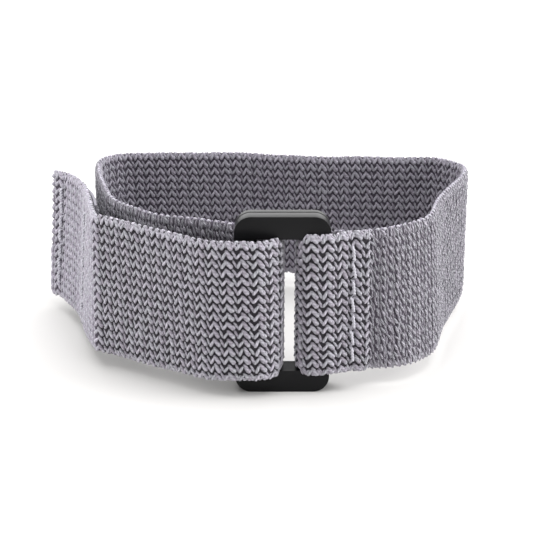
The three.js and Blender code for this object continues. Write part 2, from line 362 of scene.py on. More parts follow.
class Cloth:
    """Gathers copies of shapes and writes them as one mesh with the marks its materials read."""

    def __init__(self):
        self.parts = []
        self.count = 0

    def add(self, spots, sizes, loops, material, tint, crown, grain):
        slots = np.broadcast_to(material, len(sizes))
        self.parts.append((spots, sizes, loops + self.count, slots, tint, crown, grain))
        self.count += len(spots)

    def copies(
        self, shape, face, along, up, out, material, rng, turn,
        stretch=None, shift=0.03 * MM, all_crown=False, tints=(0, 1),
    ):
        """Copies of a shape on one face of the webbing, each a little different."""
        count, each = len(along), len(shape.spots)
        if not count:
            return
        x, y, z = (np.repeat(c[None], count, 0) for c in shape.spots.T)
        angle = rng.normal(0, turn, count)[:, None]
        cos, sin = np.cos(angle), np.sin(angle)
        x, y = x * cos - y * sin, x * sin + y * cos
        if stretch is not None:
            x = x * stretch[:, None]
        size = 1 + rng.normal(0, 0.05, (count, 1))
        step = rng.normal(0, shift, (count, 2))
        x, y = x * size, y * size
        rise = out + rng.normal(0, 0.02 * MM, count)[:, None]
        right = along[:, None] * -face + x + step[:, :1]
        high = np.broadcast_to(up, count)[:, None] + y + step[:, 1:]
        spots = np.stack((right * -face, (z + rise) * face, high), 2).reshape(-1, 3)
        loops = (shape.loops[None] + (np.arange(count) * each)[:, None]).ravel()
        tint = np.repeat(rng.uniform(*tints, count), each)
        low, top = shape.spots[:, 2].min(), shape.spots[:, 2].max()
        height = (shape.spots[:, 2] - low) / (top - low)
        crown = np.tile(np.ones(each) if all_crown else height, count)
        grain = np.tile(shape.grain, (count, 1))
        grain[:, 1] += tint * 17
        slots = np.repeat(np.broadcast_to(material, count), len(shape.sizes))
        self.add(spots, np.tile(shape.sizes, count), loops, slots, tint, crown, grain)

    def weave_core(self, start, end, out):
        """The flat inner layer: a grid given its thickness."""
        long = end - start
        start_clean()
        bpy.ops.mesh.primitive_grid_add(
            x_subdivisions=max(2, round(long / (0.6 * MM))), y_subdivisions=18, size=1
        )
        grid = bpy.context.object
        grid.scale = (long, 2 * HALF_WIDTH - 0.5 * MM, 1)
        grid.location = ((start + end) / 2, 0, 0)
        apply_place(grid)
        apply_modifier(grid, "SOLIDIFY", thickness=2 * out, offset=0)
        core = Shape(grid)
        x, y, z = core.spots.T
        spots = np.stack((x, -z, y), 1)
        crown = np.full(len(spots), 0.5)
        grain = np.stack((x, y), 1) / MM
        starts = np.r_[0, np.cumsum(core.sizes)[:-1]]
        middle = np.add.reduceat(spots[core.loops, 1], starts) / core.sizes
        place = np.add.reduceat(spots[core.loops, 0], starts) / core.sizes
        # The near-black layer is painted shade for the gaps; it is painted paler on the right-hand
        # face, inside the loop and at the tip.
        paler = (middle < -0.5 * out) | on_wrist(place) | (place > BEND_START)
        slots = np.where(paler, RIB_CORE, CORE)
        self.add(spots, core.sizes, core.loops, slots, np.full(len(spots), 0.5), crown, grain)

    def write(self, name, materials, start, end, knit=True):
        flat, sizes, loops, slots, tint, crown, grain = (
            np.concatenate([part[i] for part in self.parts]) for i in range(7)
        )
        mesh = bpy.data.meshes.new(name)
        mesh.vertices.add(len(flat))
        mesh.vertices.foreach_set("co", lay(flat, knit).astype(np.float32).ravel())
        mesh.loops.add(len(loops))
        mesh.loops.foreach_set("vertex_index", loops.astype(np.int32))
        mesh.polygons.add(len(sizes))
        starts = np.r_[0, np.cumsum(sizes)[:-1]]
        mesh.polygons.foreach_set("loop_start", starts.astype(np.int32))
        mesh.polygons.foreach_set("loop_total", sizes.astype(np.int32))
        for material in materials:
            mesh.materials.append(material)
        mesh.polygons.foreach_set("material_index", slots.astype(np.int32))
        mesh.polygons.foreach_set("use_smooth", np.ones(len(sizes), bool))
        mesh.update(calc_edges=True)
        for label, values in (("tint", tint), ("crown", crown)):
            attribute = mesh.attributes.new(label, "FLOAT", "POINT")
            attribute.data.foreach_set("value", values.astype(np.float32))
        along, out, up = flat.T
        # Each face of the webbing has its own half of the OFBake map, which surface patterns can be
        # baked into.
        middle = np.add.reduceat(out[loops], starts) / sizes
        half = np.repeat(np.where(middle > -1e-6, 0.51, 0.01), sizes)
        across = (along - start + MM) / (end - start + 2 * MM) + out / (end - start) * 0.01
        high = (up / HALF_WIDTH + 1.1) / 2.2 * 0.48 + out / HALF_WIDTH * 0.01
        map_uv = np.stack((np.clip(across[loops], 0, 1), half + high[loops]), 1)
        for label, places in (("OFBake", map_uv), ("Grain", grain[loops])):
            layer = mesh.uv_layers.new(name=label)
            layer.data.foreach_set("uv", places.astype(np.float32).ravel())
        mesh.validate(clean_customdata=False)
        return in_scene(name, mesh)


# ---- Materials ----


class Socket:
    """A node's output that arithmetic works on, adding a Math node for each step."""

    def __init__(self, finish, socket):
        self.finish, self.socket = finish, socket

    def _math(self, operation, first, second):
        settings = {"operation": operation}
        return self.finish.node("ShaderNodeMath", settings, {0: first, 1: second})["Value"]

    def __add__(self, other):
        return self._math("ADD", self, other)

    def __sub__(self, other):
        return self._math("SUBTRACT", self, other)

    def __mul__(self, other):
        return self._math("MULTIPLY", self, other)

    def __pow__(self, other):
        return self._math("POWER", self, other)

    def sine(self):
        return self._math("SINE", self, 0.0)


class Finish:
    """A material with a Principled shader, built from nodes."""

    def __init__(self, name, **constants):
        self.material = bpy.data.materials.new(name)
        self.material.use_nodes = True
        self.tree = self.material.node_tree
        self.shader = self.tree.nodes["Principled BSDF"]
        for label, value in constants.items():
            self.shader.inputs[label.replace("_", " ")].default_value = value

    def node(self, kind, settings, inputs):
        """Adds a node with its settings first, then its inputs, and returns its outputs."""
        node = self.tree.nodes.new(kind)
        for name, value in settings.items():
            if name == "stops":
                for index, (place, colour) in enumerate(value):
                    ramp = node.color_ramp.elements
                    stop = ramp[index] if index < 2 else ramp.new(place)
                    stop.position, stop.color = place, colour
            else:
                setattr(node, name, value)
        for name, value in inputs.items():
            if isinstance(value, Socket):
                self.tree.links.new(value.socket, node.inputs[name])
            else:
                node.inputs[name].default_value = value
        return {output.name: Socket(self, output) for output in node.outputs if output.enabled}

    def place(self):
        return self.node("ShaderNodeTexCoord", {}, {})["Object"]

    def grain(self):
        """Turns round a yarn and millimetres along it."""
        return self.node("ShaderNodeUVMap", {"uv_map": "Grain"}, {})["UV"]

    def marked(self, name):
        return self.node("ShaderNodeAttribute", {"attribute_name": name}, {})["Fac"]

    def mix(self, factor, first, second, blend="MIX"):
        settings = {"data_type": "RGBA", "blend_type": blend}
        return self.node("ShaderNodeMix", settings, {0: factor, 6: first, 7: second})["Result"]

    def noise(self, vector, scale, detail=2.0, roughness=0.5):
        inputs = {"Vector": vector, "Scale": scale, "Detail": detail, "Roughness": roughness}
        return self.node("ShaderNodeTexNoise", {}, inputs)["Fac"]

    def stretched(self, vector, scale):
        return self.node("ShaderNodeMapping", {}, {"Vector": vector, "Scale": scale})["Vector"]

    def feed(self, name, value):
        self.tree.links.new(value.socket, self.shader.inputs[name])

    def bump(self, height, strength, distance):
        inputs = {"Height": height, "Strength": strength, "Distance": distance}
        self.feed("Normal", self.node("ShaderNodeBump", {}, inputs)["Normal"])


def scaled(colour, factor):
    return [part * factor for part in colour]


def paint(colour, factor=1.0):
    return (*scaled(colour, factor), 1.0)


YARN_PLIES = 3
YARN_TWIST = 0.62  # millimetres of yarn in one turn of a ply's shading


def yarn_finish(name, colour, dark, depth_fall, fuzz):
    """Bulked polyester yarn: bright fibres on the crowns, and painted shade that darkens it towards
    the roots between the strands and in the grooves between its plies.
    """
    finish = Finish(name, Roughness=0.8, Sheen_Weight=0.35, Sheen_Roughness=0.45)
    finish.shader.inputs["Specular IOR Level"].default_value = 0.3
    grain = finish.grain()
    fibres = finish.noise(finish.stretched(grain, (9.0, 1.6, 1.0)), 2.6, 3.0, 0.6)
    yarn = finish.node("ShaderNodeSeparateXYZ", {}, {"Vector": grain})
    turns = yarn["X"] * (YARN_PLIES * math.tau) + yarn["Y"] * (math.tau / YARN_TWIST)
    plies = turns.sine() * 0.5 + 0.5
    tint = finish.marked("tint")
    crown = finish.marked("crown")
    stops = (
        (0.0, paint((1.0, 0.95, 0.99), 0.74)),
        (0.35, paint((0.99, 0.98, 1.0), 0.95)),
        (0.7, paint((0.96, 1.0, 0.97), 0.98)),
        (1.0, paint((1.0, 0.98, 1.0), 1.22)),
    )
    strand = finish.node("ShaderNodeValToRGB", {"stops": stops}, {"Fac": tint})["Color"]
    lit = finish.mix(1.0, paint(colour), strand, "MULTIPLY")
    # Painted shade: the colour falls to the dark root colour below each strand's crown and in the
    # grooves between the plies; the fibre noise is the yarn's own texture.
    depth = crown ** depth_fall * 0.82 + fibres * 0.3 + plies * 0.3 - 0.19
    clamp = finish.node("ShaderNodeClamp", {}, {"Value": depth})["Result"]
    finish.feed("Base Color", finish.mix(clamp, paint(dark), lit))
    finish.feed("Roughness", fibres * 0.25 + 0.62)
    finish.bump(fibres * 0.6 + plies, fuzz, 0.09 * MM)
    return finish.material


def core_finish(name, colour):
    """The covered elastic between the stitches, lightly ribbed; its near-black colour is painted
    shade for the deep gaps between the stitches.
    """
    finish = Finish(name, Roughness=0.9)
    grain = finish.grain()
    ribs = finish.noise(finish.stretched(grain, (4.0, 0.8, 1.0)), 2.0, 2.0)
    finish.feed("Base Color", finish.mix(ribs, paint(colour, 0.5), paint(colour, 1.6)))
    finish.feed("Roughness", ribs * 0.15 + 0.8)
    finish.bump(ribs, 0.5, 0.08 * MM)
    return finish.material


def thread_finish(name, colour):
    """Filament sewing thread, smoother and paler than the knit."""
    finish = Finish(name, Roughness=0.5, Sheen_Weight=0.2)
    place = finish.place()
    fibres = finish.noise(finish.stretched(place, (9000.0, 9000.0, 2500.0)), 1.0, 2.0)
    finish.feed("Base Color", finish.mix(fibres, paint(colour, 0.72), paint(colour, 1.1)))
    finish.feed("Roughness", fibres * 0.25 + 0.4)
    finish.bump(fibres, 0.3, 0.02 * MM)
    return finish.material


def hook_finish(name, colour, roughness):
    """Nylon hook tape: its woven ground, or the hooks on it."""
    finish = Finish(name, Roughness=roughness)
    place = finish.place()
    weave = finish.noise(finish.stretched(place, (2600.0, 2600.0, 5200.0)), 1.0, 2.0)
    finish.feed("Base Color", finish.mix(weave, paint(colour, 0.7), paint(colour, 1.15)))
    finish.feed("Roughness", weave * 0.2 + roughness - 0.1)
    finish.bump(weave, 0.4, 0.05 * MM)
    return finish.material


def plastic_finish(name, colour):
    """Black moulded nylon with a satin skin and faint flow marks."""
    finish = Finish(name, Roughness=0.36)
    finish.shader.inputs["Specular IOR Level"].default_value = 0.12
    place = finish.place()
    skin = finish.noise(finish.stretched(place, (6000.0, 6000.0, 6000.0)), 1.0, 3.0)
    flow = finish.noise(finish.stretched(place, (90.0, 400.0, 260.0)), 1.0, 2.0)
    # The ring is made lighter on its sharp convex edges.
    edge_pointiness = finish.node("ShaderNodeNewGeometry", {}, {})["Pointiness"]
    edge_lightening = finish.node(
        "ShaderNodeMapRange",
        {},
        {"Value": edge_pointiness, "From Min": 0.52, "From Max": 0.62, "To Min": 0.0, "To Max": 0.5},
    )["Result"]
    base = finish.mix(flow, paint(colour, 0.75), paint(colour, 1.3))
    finish.feed("Base Color", finish.mix(edge_lightening, base, paint(colour, 3.0)))
    finish.feed("Roughness", skin * 0.1 + flow * 0.1 + 0.24)
    finish.bump(skin, 0.12, 0.02 * MM)
    return finish.material


def floor_finish(name, colour):
    finish = Finish(name, Roughness=0.9)
    finish.shader.inputs["Specular IOR Level"].default_value = 0.0
    place = finish.place()
    mottle = finish.noise(place, 3.0, 2.0)
    finish.feed("Base Color", finish.mix(mottle, paint(colour, 0.99), paint(colour)))
    return finish.material


# ---- Settings ----


def colour_setting(name, description, default):
    limits = {"subtype": "COLOR", "size": 3, "min": 0, "max": 1}
    texts = {"name": name, "description": description}
    return bpy.props.FloatVectorProperty(default=default, **texts, **limits)


def length_setting(name, description, default, least):
    limits = {"min": least, "precision": 5, "unit": "LENGTH"}
    return bpy.props.FloatProperty(name=name, description=description, default=default, **limits)


class WristStrapWebbing(bpy.types.PropertyGroup):
    yarn_colour: colour_setting(
        "Yarn", "Colour of the knitted yarn on its crowns", (0.465, 0.446, 0.503)
    )
    # Painted shade: the colour the yarn is darkened to below its crowns, between its neighbours.
    painted_root_shade_colour: colour_setting(
        "Yarn roots", "Colour of the yarn between its neighbours", (0.05, 0.045, 0.058)
    )
    # Near black as painted shade for the deep gaps between the stitches.
    core_and_gap_shade_colour: colour_setting(
        "Elastic", "Colour of the elastic layer between the stitches", (0.02, 0.017, 0.023)
    )
    rows: bpy.props.IntProperty(
        name="Rows", description="Rows of stitches across the webbing", default=16, min=4, max=40
    )
    tooth_pitch: length_setting(
        "Edge tooth pitch", "Distance between the loops along both edges", 1.04 * MM, 0.3 * MM
    )


class WristStrapTrim(bpy.types.PropertyGroup):
    plastic_colour: colour_setting("Ring", "Colour of the moulded ring", (0.008, 0.008, 0.0087))
    thread_colour: colour_setting("Thread", "Colour of the sewing thread", (0.55, 0.54, 0.6))
    hook_colour: colour_setting("Hook tape", "Colour of the hook patch", (0.27, 0.26, 0.3))
    stitch_length: length_setting(
        "Stitch length", "Length of one visible stitch of a seam", 2.6 * MM, 0.5 * MM
    )


# ---- Webbing ----

CORE_HALF = 0.32 * MM
CORE_TRIM = 0.15 * MM  # how far the core ends short of the cut ends
CUT_YARN_INSET = 0.14 * MM
CUT_YARN_PITCH = 0.66 * MM
# The yarn of the wrist side is darkened as painted shade for the inside of the loop.
YARN, RIB_YARN, CORE, RIB_CORE, WRIST_SHADED_YARN, TIP_YARN = range(6)

BAND_CUTS = (26 * MM, 63 * MM, 101 * MM, 139 * MM)
BEND_FROM, BEND_TO = BEND_START - 0.4 * MM, BEND_END + 0.4 * MM
# Name, body, start and end on the route, replaced CAD node, and the bodies it bends between.
SECTIONS = (
    ("webbing_sewn_end", "band", 0.0, BAND_CUTS[0], "strap_band", None),
    ("webbing_right_side", "band", BAND_CUTS[0], BAND_CUTS[1], "strap_band", None),
    ("webbing_back_right", "band", BAND_CUTS[1], BAND_CUTS[2], "strap_band", None),
    ("webbing_back_left", "band", BAND_CUTS[2], BAND_CUTS[3], "strap_band", None),
    ("webbing_left_side", "band", BAND_CUTS[3], FOLD_START, "strap_band", None),
    ("webbing_loose_fold", None, FOLD_START, FOLD_END, "strap_fold", ("band", "tail")),
    ("webbing_tail", "tail", FOLD_END, BEND_FROM, "strap_tail", None),
    ("webbing_tail_bend", None, BEND_FROM, BEND_TO, None, ("tail", "tip")),
    ("webbing_tip", "tip", BEND_TO, TIP_END, "tail_tip", None),
)

STITCH_LENGTH = 2.06 * MM  # length of one stitch pair that the shapes are made for
ROW_SLIP = 0.01  # how far each row is set off from the row below, in stitch pairs

# Yarn bulges of one stitch pair: length, thin and thick radius in millimetres, turn in degrees,
# and sides and rings where they are fewer than usual.
BULGES = {
    "leg": (1.62, 0.26, 0.37, -34),
    "thin_leg": (1.42, 0.18, 0.25, -29),
    "knob": (1.3, 0.19, 0.26, 31),
    "float": (1.15, 0.15, 0.22, -27, 6, 4),
    "small_float": (1.0, 0.15, 0.19, -22, 6, 4),
    "tie": (1.5, 0.15, 0.19, -7, 6, 4),
    "tooth_rise": (0.98, 0.17, 0.23, 36, 7),
    "tooth_fall": (0.98, 0.17, 0.23, -36, 7),
    "lash": (1.35, 0.15, 0.18, 0, 6, 4),
}
BEADS = {"knot": (0.34, 0.38, 0.36), "cap": (0.3, 0.24, 0.42), "end": (0.22, 0.3, 0.5)}

# Where the shapes of one stitch pair stand on each face, in millimetres: to the right, above the
# row's middle, and out. The last two numbers limit the tint: the knob and the floats, which stand
# out furthest, get the bright end as a painted highlight, and the others the darker end.
LEFT_FACE = (
    ("leg", 0.62, 0.04, 0.3, 0, 0.7),
    ("knot", 0.97, -0.32, 0.31, 0, 0.7),
    ("thin_leg", 1.42, 0.06, 0.27, 0, 0.7),
    ("knob", 2.02, -0.1, 0.42, 0.6, 1),
)
RIGHT_FACE = (
    ("float", 0.0, 0.0, 0.44, 0.6, 1),
    ("tie", 0.36, 0.35, 0.29, 0, 0.75),
    ("tie", 0.68, -0.3, 0.27, 0, 0.75),
    ("small_float", 1.04, 0.25, 0.37, 0.6, 1),
    ("tie", 1.38, 0.1, 0.27, 0, 0.75),
    ("tie", 1.7, -0.2, 0.29, 0, 0.75),
)


def on_wrist(along):
    """Whether the left-hand face lies against the wrist at these distances."""
    return (along > FLAP_FOLD) & (along < FOLD_START + 1 * MM)


def course_pitch(along):
    """Length of one stitch pair: the knit is stretched at the flap and round the ring."""
    flap = 1 - smooth(along, 14 * MM, 24 * MM)
    fold = smooth(along, FOLD_START - 12 * MM, FOLD_START) * (
        1 - smooth(along, FOLD_END + 1 * MM, FOLD_END + 5 * MM)
    )
    return MM * (1.85 + 0.21 * flap + 0.25 * fold)


COURSE_PLACES = np.arange(-2 * MM, TIP_END + 2 * MM, SAMPLE_STEP)
COURSE_COUNT = np.cumsum(SAMPLE_STEP / course_pitch(COURSE_PLACES))


def courses(start, end, offset):
    """Places of the stitches of one row between two distances, and how far each is stretched."""
    first, last = np.interp((start, end), COURSE_PLACES, COURSE_COUNT)
    numbers = np.arange(math.ceil(first - offset), math.ceil(last - offset)) + offset
    places = np.interp(numbers, COURSE_COUNT, COURSE_PLACES)
    return places, course_pitch(places) / STITCH_LENGTH


def evenly(start, end, pitch, offset=0.5):
    """Places on one even grid over the whole webbing that fall between two distances."""
    first, last = math.ceil(start / pitch - offset), math.ceil(end / pitch - offset)
    return (np.arange(first, last) + offset) * pitch


class STRAP_OT_webbing(bpy.types.Operator):
    """Knits the elastic webbing along its route, in one piece for each part that moves"""

    bl_idname = "strap.webbing"
    bl_label = "Knit webbing"

    def execute(self, context):
        webbing = context.scene.wrist_strap_webbing
        rng = np.random.default_rng(20827)
        shapes = {name: bead(*[r * MM for r in radii]) for name, radii in BEADS.items()}
        for name, (length, thin, thick, turn, *sides) in BULGES.items():
            egg = bulge(length * MM, thin * MM, thick * MM, *sides)
            shapes[name] = egg.turned(math.radians(turn))
        yarn, painted_root_shade, core = webbing.yarn_colour, webbing.painted_root_shade_colour, webbing.core_and_gap_shade_colour
        # In the order of YARN to TIP_YARN: the shares of the colours, how soon the painted shade
        # darkens the yarn below its crowns, and how rough its fibres are.
        materials = (
            yarn_finish("knitted_yarn", yarn, painted_root_shade, 1.5, 0.55),
            yarn_finish("rib_yarn", scaled(yarn, 0.76), scaled(painted_root_shade, 2.0), 1.3, 0.8),
            # The elastic layer: near black as painted shade in the gaps, and a paler painted shade
            # on the right-hand face, inside the loop and at the tip.
            core_finish("elastic_core", core),
            core_finish("elastic_core_rib_side", scaled(core, 2.8)),
            # Painted shade: the wrist side's yarn is darker and flatter, for the inside of the loop
            # where the band shades it.
            yarn_finish("wrist_side_shaded_yarn", scaled(yarn, 0.52), scaled(painted_root_shade, 6.8), 0.8, 0.25),
            # The tip's yarn has much paler painted shade at its roots and a slightly darker crown
            # colour, so it reads smoother and lighter.
            yarn_finish("tip_yarn_paler_root_shade", scaled(yarn, 0.94), scaled(painted_root_shade, 6.5), 0.8, 0.6),
        )
        for name, body, start, end, node, bends in SECTIONS:
            cloth = self.knit(webbing, rng, shapes, start, end)
            piece = cloth.write(name, materials, start, end)
            if node:
                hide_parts(node)
            if bends:
                # Its placement is applied to its mesh, and it is not attached to a body.
                points = lay([(start, 0, 0), (end, 0, 0)])
                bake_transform(piece)
            else:
                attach(piece, body)
        return {"FINISHED"}

    def knit(self, webbing, rng, shapes, start, end):
        cloth = Cloth()
        trim_start = CORE_TRIM if start == 0 else 0
        trim_end = CORE_TRIM if end == TIP_END else 0
        cloth.weave_core(start + trim_start, end - trim_end, CORE_HALF)
        pitch = 2 * HALF_WIDTH / webbing.rows
        for row in range(webbing.rows):
            up = (row + 0.5) * pitch - HALF_WIDTH
            for shape, right, high, out, *tints in LEFT_FACE:
                slip = ROW_SLIP * row - right * MM / STITCH_LENGTH
                places, stretch = courses(start, end, slip % 1)
                # Painted shade: the left-hand face inside the loop takes the darker wrist-side
                # yarn.
                slots = np.where(on_wrist(places), WRIST_SHADED_YARN, YARN)
                # At the tip the yarn takes the paler painted root shade.
                slots = np.where(places > BEND_START, TIP_YARN, slots)
                where = places, up + high * MM, out * MM
                setting = {"turn": 0.09, "stretch": stretch, "tints": tints}
                cloth.copies(shapes[shape], 1, *where, slots, rng, **setting)
            for shape, right, high, out, *tints in RIGHT_FACE:
                if high > 0 and row == webbing.rows - 1:
                    continue
                places, _ = courses(start, end, right * MM / STITCH_LENGTH)
                where = places, up + high * MM, out * MM
                setting = {"turn": 0.12, "shift": 0.06 * MM, "tints": tints}
                cloth.copies(shapes[shape], -1, *where, RIB_YARN, rng, **setting)
        for side in (1, -1):
            places = evenly(start, end, webbing.tooth_pitch)
            top = side * (HALF_WIDTH - 0.22 * MM)
            cloth.copies(shapes["cap"], 1, places, top, 0, YARN, rng, 0.06, all_crown=True)
            for shape, right in (("tooth_rise", -0.25), ("tooth_fall", 0.25)):
                teeth = evenly(start, end, webbing.tooth_pitch, 0.5 - right * side)
                # Painted shade: teeth inside the loop take the darker wrist-side yarn.
                slots = np.where(on_wrist(teeth), WRIST_SHADED_YARN, YARN)
                where = teeth, side * (HALF_WIDTH - 0.55 * MM), 0.28 * MM
                cloth.copies(shapes[shape], 1, *where, slots, rng, 0.08)
            lashes = evenly(start, end, webbing.tooth_pitch / 2)
            where = lashes, side * (HALF_WIDTH - 0.75 * MM), 0.33 * MM
            cloth.copies(shapes["lash"], -1, *where, RIB_YARN, rng, 0.08)
        self.bind_cut_end(cloth, shapes, start, end, rng)
        return cloth

    def bind_cut_end(self, cloth, shapes, start, end, rng):
        """Rounds the yarns off where the webbing is cut across."""
        heights = np.arange(-HALF_WIDTH + 0.5 * MM, HALF_WIDTH - 0.4 * MM, CUT_YARN_PITCH)
        for cut, limit in ((CUT_YARN_INSET, start), (TIP_END - CUT_YARN_INSET, end)):
            if limit in (0, TIP_END):
                places = np.full(len(heights), cut)
                setting = {"turn": 0.2, "shift": 0.06 * MM}
                cloth.copies(shapes["end"], 1, places, heights, 0, YARN, rng, **setting)


# ---- Moulded ring ----

RING_WIDTH = 13.2 * MM
RING_HEIGHT = 25.7 * MM
OPENING_HALF = 9.65 * MM
BAR_INNER = 3.6 * MM
SIDE_BAR_DEPTH = 1.6 * MM
END_BAR_DEPTH = 3.6 * MM
RING_CORNER = 2.3 * MM
SIDE_BAR_ROUNDING = 0.55 * MM
PARTING_FROM_MIDDLE = 0.55 * MM
PARTING_WIDTH = 0.24 * MM
PARTING_DEPTH = 0.13 * MM


class STRAP_OT_ring(bpy.types.Operator):
    """Moulds the rectangular ring: two deep end bars and two slim side bars round an opening"""

    bl_idname = "strap.ring"
    bl_label = "Mould ring"

    def execute(self, context):
        start_clean()
        bpy.ops.mesh.primitive_cube_add(size=1)
        ring = bpy.context.object
        ring.name = ring.data.name = "moulded_ring"
        ring.scale = (RING_WIDTH, SIDE_BAR_DEPTH, RING_HEIGHT)
        apply_place(ring)
        enter("EDIT")
        for co, way in (
            ((BAR_INNER, 0, 0), (1, 0, 0)),
            ((-BAR_INNER, 0, 0), (1, 0, 0)),
            ((0, 0, OPENING_HALF), (0, 0, 1)),
            ((0, 0, -OPENING_HALF), (0, 0, 1)),
        ):
            select_whole_mesh()
            bpy.ops.mesh.bisect(plane_co=co, plane_no=way)
        self.open_middle(ring)
        self.deepen_end_bars(ring)
        self.round_corners(ring)
        self.cut_parting_line(ring)
        enter("OBJECT")
        rounding = {"width": 0.3 * MM, "segments": 4, "limit_method": "ANGLE"}
        apply_modifier(ring, "BEVEL", angle_limit=math.radians(40), **rounding)
        bpy.ops.object.shade_smooth_by_angle(angle=math.radians(35))
        ring.location = RING_CENTRE
        apply_place(ring)
        colour = context.scene.wrist_strap_trim.plastic_colour
        ring.data.materials.append(plastic_finish("satin_black_nylon", colour))
        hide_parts("buckle_frame")
        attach(ring, "ring")
        return {"FINISHED"}

    def open_middle(self, ring):
        """Takes out the middle of both large faces and joins the two holes with walls."""

        def in_middle(face):
            in_opening = abs(face.center.x) < BAR_INNER and abs(face.center.z) < OPENING_HALF
            return abs(face.normal.y) > 0.9 and in_opening

        choose(ring, "FACE", in_middle)
        bpy.ops.mesh.delete(type="FACE")

        def on_rim(edge):
            low, high = ends(ring, edge)
            middle = (low + high) / 2
            along_rim = abs(low.y - high.y) < 1e-6
            upright = abs(abs(middle.x) - BAR_INNER) < 1e-6 and abs(middle.z) < OPENING_HALF
            level = abs(abs(middle.z) - OPENING_HALF) < 1e-6 and abs(middle.x) < BAR_INNER
            return along_rim and (upright or level)

        choose(ring, "EDGE", on_rim)
        bpy.ops.mesh.bridge_edge_loops()
        turn_faces_outward()

    def deepen_end_bars(self, ring):
        """Draws the end bars out to the front and to the back."""
        for way in (-1, 1):

            def outer(face):
                return face.normal.y * way > 0.9 and abs(face.center.z) > OPENING_HALF

            choose(ring, "FACE", outer)
            step = way * (END_BAR_DEPTH - SIDE_BAR_DEPTH) / 2
            bpy.ops.mesh.extrude_region_move(TRANSFORM_OT_translate={"value": (0, step, 0)})

    def round_corners(self, ring):
        """Rounds the ring's four outer corners and the long edges of its side bars."""

        def outer_corner(edge):
            low, high = ends(ring, edge)
            level = abs(low.x - high.x) < 1e-6 and abs(low.z - high.z) < 1e-6
            at_side = abs(low.x) > RING_WIDTH / 2 - 1e-6
            return level and at_side and abs(low.z) > RING_HEIGHT / 2 - 1e-6

        choose(ring, "EDGE", outer_corner)
        bpy.ops.mesh.bevel(offset=RING_CORNER, segments=10, affect="EDGES")

        def side_bar(edge):
            low, high = ends(ring, edge)
            upright = abs(low.x - high.x) < 1e-6 and abs(low.y - high.y) < 1e-6
            in_reach = max(abs(low.z), abs(high.z)) < OPENING_HALF + 1e-6
            return upright and in_reach and abs(abs(low.y) - SIDE_BAR_DEPTH / 2) < 1e-6

        choose(ring, "EDGE", side_bar)
        bpy.ops.mesh.bevel(offset=SIDE_BAR_ROUNDING, segments=5, affect="EDGES")

    def cut_parting_line(self, ring):
        """A fine groove round the end bars where the two halves of the mould met."""
        for edge in (-1, 1):
            select_whole_mesh()
            place = PARTING_FROM_MIDDLE + edge * PARTING_WIDTH / 2
            bpy.ops.mesh.bisect(plane_co=(0, place, 0), plane_no=(0, 1, 0))

        def in_groove(face):
            near = abs(face.center.y - PARTING_FROM_MIDDLE) < PARTING_WIDTH / 2
            return near and abs(face.normal.y) < 0.1 and abs(face.center.z) > OPENING_HALF + 1e-6

        choose(ring, "FACE", in_groove)
        sunk = {"value": -PARTING_DEPTH}
        bpy.ops.mesh.extrude_region_shrink_fatten(TRANSFORM_OT_shrink_fatten=sunk)


# ---- Seams ----

PLY_RADIUS = 0.15 * MM
PLY_OFFSET = 0.11 * MM  # from the thread's middle
PLY_STEP = 0.13 * MM
TWIST_LENGTH = 0.95 * MM
STITCH_DIP = 0.95 * MM
STITCH_SLANT = 0.42 * MM
STITCH_WANDER = 0.09 * MM
ON_KNIT_BELOW = 1.0 * MM  # seams with a lower crown lie on the knit, the others on the patch
ON_KNIT_FIT = 0.95

# Name, body, distance along the route, face, height of the thread's crown, and seam length.
SEAMS = (
    ("flap_seam_needle_thread", "band", FLAP_SEAM, 1, 0.66 * MM, 18.2 * MM),
    ("flap_seam_bobbin_thread", "band", BAND_SEAM, 1, 0.62 * MM, 18.2 * MM),
    ("hook_front_seam_needle_thread", "tip", HOOK_FRONT_SEAM, 1, 0.62 * MM, 17.0 * MM),
    ("hook_front_seam_bobbin_thread", "tip", HOOK_FRONT_SEAM, -1, 1.5 * MM, 17.0 * MM),
    ("hook_rear_seam_needle_thread", "tip", HOOK_REAR_SEAM, 1, 0.62 * MM, 17.0 * MM),
    ("hook_rear_seam_bobbin_thread", "tip", HOOK_REAR_SEAM, -1, 1.5 * MM, 17.0 * MM),
)


